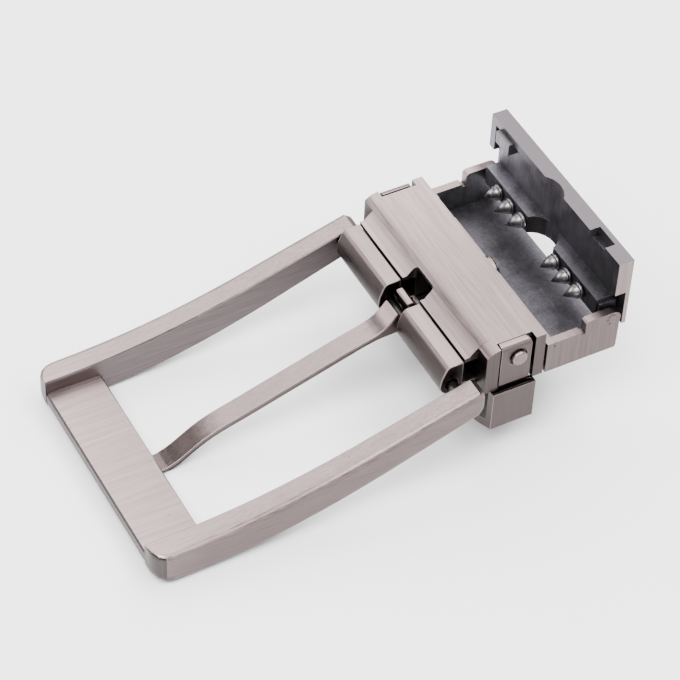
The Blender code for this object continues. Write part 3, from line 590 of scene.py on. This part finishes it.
def on_lid_rim(middle, normal):
    return normal.z > MOSTLY and middle.z > BOXES["jaw"][1].z - LID_RIM


def in_bite(middle, normal):
    """The round wall that clears the spindle."""
    low, high = BOXES["jaw"]
    near_spindle = abs(middle.y) < BITE_HALF and middle.z < low.z + BITE_TOP
    return near_spindle and middle.x < high.x - BITE_DEPTH and abs(normal.z) < HARDLY


def dress_lid(jaw, edge_wear_and_light):
    finish = {"upright_sides": True, "shades": [Shade("Y", 0.78)]}
    paint(jaw, brushed("brushed_jaw_plating", PLATING, "y", **finish), edge_wear_and_light["casting"])
    casting = as_cast("cast_jaw_plating", DARK_CASTING, scuffs="z", near=0.42, far=1.32)
    paint_where(jaw, casting, inside_lid)
    paint_where(jaw, brushed("satin_lid_rim_plating", LID_RIM_PLATING, "y", 0.38, 0.5), on_lid_rim)
    paint_where(jaw, edge_wear_and_light["steel"], in_bite)


def dress_teeth(teeth):
    steel = brushed("turned_tooth_steel", TOOTH_STEEL, "rings", 0.34, 0.9, sheen=0.0)
    edge = brushed("turned_tooth_edge", TOOTH_STEEL, "rings", 0.4, 0.5, sheen=0.0)
    for tooth in teeth:
        paint(tooth, steel, edge)


# All the pieces

def edge_wear_and_light_finishes():
    """The finishes of the rounded edges, which the pieces share. The plating's and the casting's are lighter,
    partly wear and partly painted highlight; the dark steel one is also painted shade on the keeper's
    shoulder.
    """
    edges = {"plating": WORN_AND_HIGHLIT_PLATING, "casting": WORN_AND_HIGHLIT_CASTING}
    edge_wear_and_light = {metal: brushed(f"worn_{metal}_edge", colour, "y", 0.4, 0.8) for metal, colour in edges.items()}
    edge_wear_and_light["steel"] = brushed("dull_steel_edge_and_painted_shade", PIN_STEEL_AND_PAINTED_SHADE, "y", 0.4, 0.8)
    return edge_wear_and_light


def dress_pieces():
    skins = {node: smooth_copy(node) for node in frame["nodes"]}
    edge_wear_and_light = edge_wear_and_light_finishes()
    dress_cover(skins["cover"], edge_wear_and_light)
    dress_bracket(skins["hinge_bracket"], edge_wear_and_light)
    dress_keeper(skins["keeper"], edge_wear_and_light)
    dress_rivets(skins["near_rivet"], skins["far_rivet"], edge_wear_and_light)
    dress_frame(skins["frame"], edge_wear_and_light)
    dress_prong(skins["prong"], edge_wear_and_light)
    dress_pins(skins["hinge_pin"], skins["near_jaw_pin"], skins["far_jaw_pin"], edge_wear_and_light)
    dress_spindle(skins["spindle"], edge_wear_and_light)
    dress_tray(skins["tray"], edge_wear_and_light)
    dress_lid(skins["jaw"], edge_wear_and_light)
    dress_teeth([skin for node, skin in skins.items() if node.startswith("tooth_")])


# Studio

def direction(azimuth, elevation):
    """The way out from the buckle. Azimuth 0 is along -y, and it grows towards x."""
    turn, rise = math.radians(azimuth), math.radians(elevation)
    return Vector((math.sin(turn) * math.cos(rise), -math.cos(turn) * math.cos(rise), math.sin(rise)))


def add_floor():
    deselect_all()
    bpy.ops.mesh.primitive_plane_add(size=FLOOR_SIZE * MM, location=(0.0, 0.0, 0.0))
    floor = bpy.context.object
    floor.name = "studio_floor"
    paper = {"Base Color": (*FLOOR_COLOUR, 1.0), "Roughness": 0.9, "Specular IOR Level": 0.1}
    floor.data.materials.append(Finish("pale_paper").surface(paper))


def add_soft_box(box):
    away = direction(box.azimuth, box.elevation)
    data = bpy.data.lights.new(box.name, "AREA")
    data.shape = "RECTANGLE"
    data.size = box.width * MM
    data.size_y = box.height * MM
    data.energy = box.brightness * math.pi * box.width * box.height * MM * MM
    panel = bpy.data.objects.new(box.name, data)
    bpy.context.scene.collection.objects.link(panel)
    panel.location = away * box.distance * MM
    panel.rotation_euler = away.to_track_quat("Z", "Y").to_euler()


def add_sky():
    world = bpy.data.worlds.new("studio")
    world.use_nodes = True
    background = world.node_tree.nodes["Background"]
    background.inputs["Color"].default_value = (*SKY_COLOUR, 1.0)
    background.inputs["Strength"].default_value = SKY_STRENGTH
    bpy.context.scene.world = world


def add_camera():
    roll = math.radians(VIEW_ROLL)
    back = direction(VIEW_AZIMUTH, VIEW_ELEVATION)
    level = Vector((0.0, 0.0, 1.0)).cross(back).normalized()
    upright = back.cross(level)
    right = level * math.cos(roll) + upright * math.sin(roll)
    up = upright * math.cos(roll) - level * math.sin(roll)
    data = bpy.data.cameras.new("photo_camera")
    data.sensor_width = SENSOR_WIDTH
    data.lens = VIEW_LENS
    data.clip_start = NEAREST_SEEN * MM
    camera = bpy.data.objects.new("photo_camera", data)
    bpy.context.scene.collection.objects.link(camera)
    place = (Vector(LOOKS_AT) + back * VIEW_DISTANCE) * MM
    camera.matrix_world = Matrix.Translation(place) @ Matrix((right, up, back)).transposed().to_4x4()
    bpy.context.scene.camera = camera


dress_pieces()
add_floor()
add_sky()
for soft_box in SOFT_BOXES:
    add_soft_box(soft_box)
add_camera()
